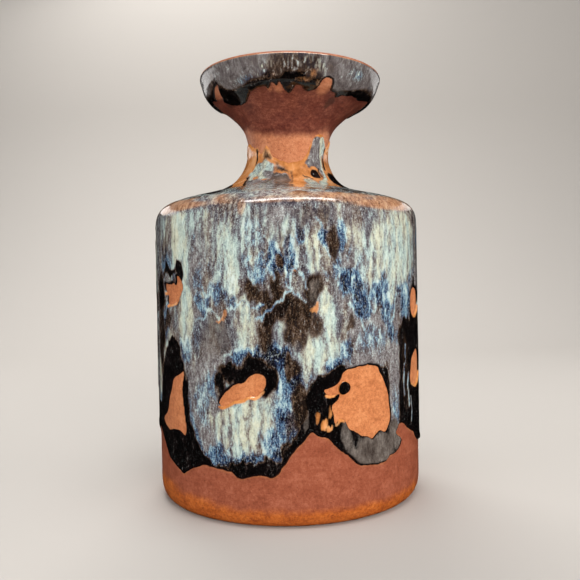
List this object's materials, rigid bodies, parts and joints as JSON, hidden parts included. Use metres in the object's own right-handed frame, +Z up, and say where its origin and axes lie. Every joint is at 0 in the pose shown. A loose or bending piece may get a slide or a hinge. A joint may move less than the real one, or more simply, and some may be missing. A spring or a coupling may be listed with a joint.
{
  "type": "ceramic bud vase",
  "caption": "Glazed stoneware bud vase: straight cylinder body, narrow waisted neck and flared mouth, with bare clay windows in a streaked glaze.",
  "frame": {"origin": "centre of the flat foot, on the surface that the vase stands on", "axes": "+Z up along the body's axis, -Y towards the side with the large bare window"},
  "size_m": [0.1016, 0.1016, 0.158],
  "materials": {
    "foot_clay": "satin bare red-brown clay",
    "bare_clay": "matte bare orange clay",
    "mouth_clay": "satin dark red-brown clay",
    "liner_glaze": "gloss dark brown liner glaze",
    "dark_glaze": "gloss near-black glaze",
    "rutile_glaze": "gloss cream and blue streaked glaze",
    "shoulder_glaze": "gloss mottled pale grey-green glaze",
    "amber_glaze": "gloss amber glaze",
    "mouth_glaze": "gloss near-black glaze with pale streaks"
  },
  "bodies": {
    "root": {"foot_disc": "foot_clay", "body_wall": "bare_clay", "shoulder": "bare_clay", "neck": "bare_clay", "mouth_bowl": "mouth_clay", "body_liner_glaze": "liner_glaze", "mouth_liner_glaze": "liner_glaze", "body_glaze": "dark_glaze", "rutile_overglaze": "rutile_glaze", "shoulder_glaze": "shoulder_glaze", "neck_glaze": "amber_glaze", "mouth_glaze": "mouth_glaze", "glaze_drop": "dark_glaze"}
  },
  "joints": []
}
